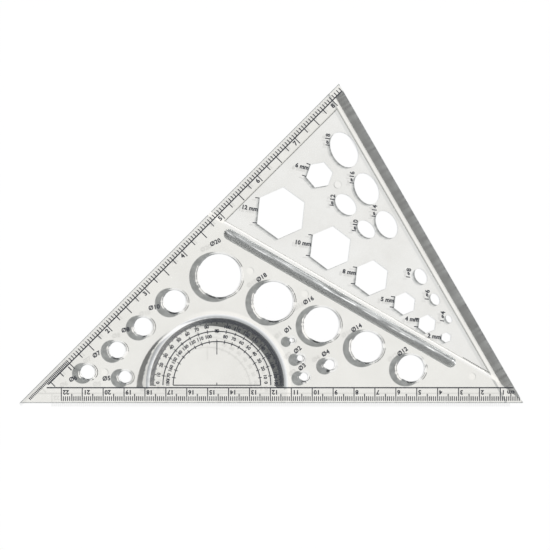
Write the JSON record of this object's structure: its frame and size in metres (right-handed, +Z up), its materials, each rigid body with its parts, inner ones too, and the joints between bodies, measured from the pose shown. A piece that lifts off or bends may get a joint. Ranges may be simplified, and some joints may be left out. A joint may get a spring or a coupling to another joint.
{
  "type": "drafting triangle",
  "caption": "Clear drafting triangle with 45, 60 and 75 degree corners, printed scales, a protractor, circle, hexagon and ellipse cut-outs and a half-round grip bar.",
  "frame": {"origin": "under the middle of the outline's box, on the flat underside", "axes": "+X along the base edge from the 45 degree corner to the 60 degree corner, +Y from the base edge towards the apex, +Z up, square to the plate"},
  "size_m": [0.241, 0.1528, 0.0057],
  "materials": {
    "clear_plate": "clear moulded, polished faces",
    "clear_panel": "clear sheet, polished faces",
    "clear_bar": "clear moulded, drawn along its length",
    "ink": "screen-printed"
  },
  "bodies": {
    "root": {"plate": "clear_plate", "template_panel": "clear_panel", "grip_bar": "clear_bar", "inch_scale": "ink", "centimetre_scale": "ink", "protractor_scale": "ink", "hexagon_marks": "ink", "ellipse_marks": "ink"}
  },
  "joints": []
}
